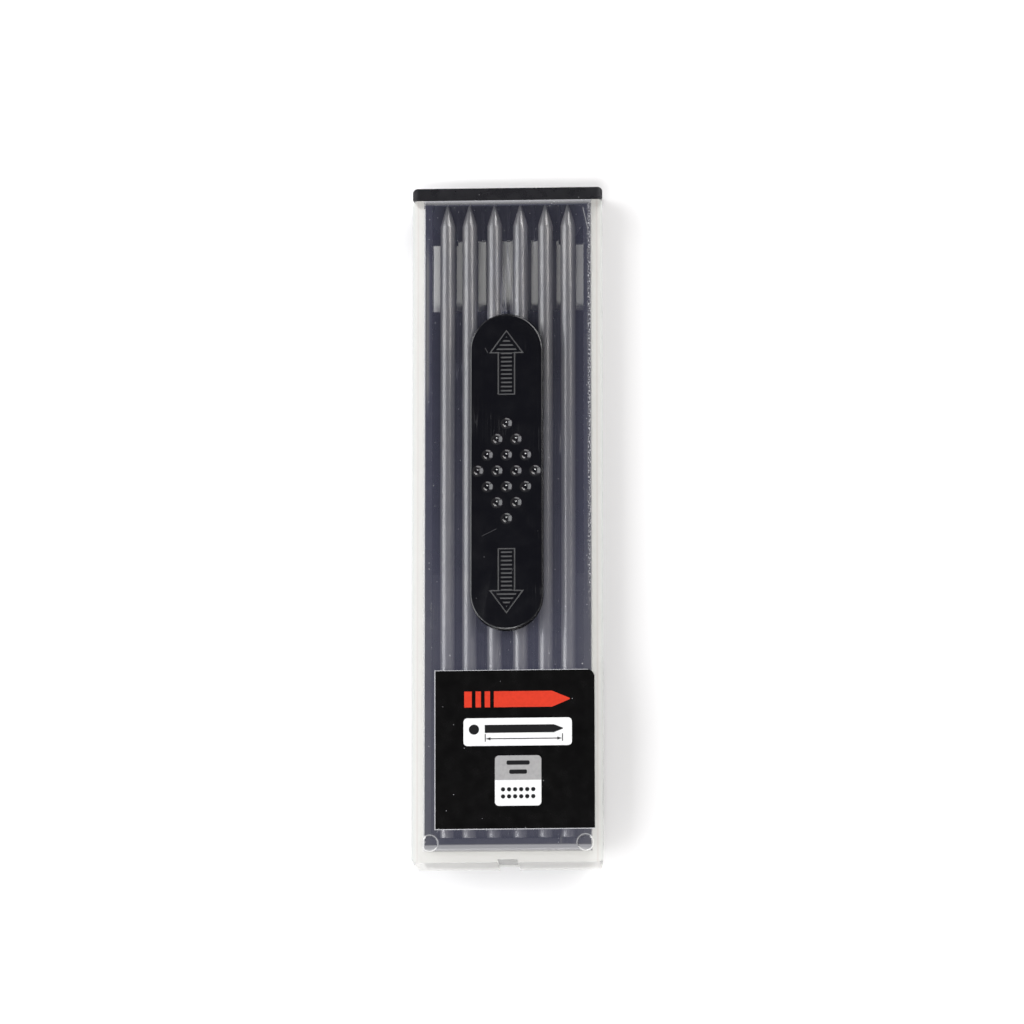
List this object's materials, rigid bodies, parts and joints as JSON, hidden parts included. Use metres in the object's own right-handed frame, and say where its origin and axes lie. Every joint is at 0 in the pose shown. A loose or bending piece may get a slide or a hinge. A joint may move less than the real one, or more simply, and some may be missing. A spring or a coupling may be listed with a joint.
{
  "type": "sliding lead case",
  "caption": "Flat clear plastic case for drafting leads, with a black end cap and a thumb slider that lifts an inner carriage with two rows of pointed leads.",
  "frame": {"origin": "on the surface that the case lies on, below the middle of the whole object", "axes": "+Y along the case towards the cap, +X across it to the right seen from the front, +Z out of the front face with the slider"},
  "size_m": [0.0356, 0.1276, 0.0119],
  "materials": {
    "clear_plastic": "clear polystyrene, slightly hazy with handling",
    "cap_plastic": "satin black moulding",
    "carriage_plastic": "satin black moulding",
    "slider_plastic": "smooth black moulding",
    "label_film": "black printed film",
    "graphite": "dark grey burnished graphite, a low metallic sheen"
  },
  "bodies": {
    "case": {"case": "clear_plastic", "label": "label_film"},
    "carriage": {"carriage": "carriage_plastic", "slider": "slider_plastic", "lead_front_1": "graphite", "lead_front_2": "graphite", "lead_front_3": "graphite", "lead_front_4": "graphite", "lead_front_5": "graphite", "lead_front_6": "graphite", "lead_back_1": "graphite", "lead_back_2": "graphite", "lead_back_3": "graphite", "lead_back_4": "graphite", "lead_back_5": "graphite", "lead_back_6": "graphite"},
    "cap": {"cap": "cap_plastic"}
  },
  "joints": [
    {"name": "carriage_slide", "type": "slide", "parent": "case", "child": "carriage", "axis": [0, 1, 0], "range_m": [0, 0.021]},
    {"name": "cap_pull", "type": "slide", "parent": "carriage", "child": "cap", "axis": [0, 1, 0], "range_m": [0, 0.014]}
  ]
}
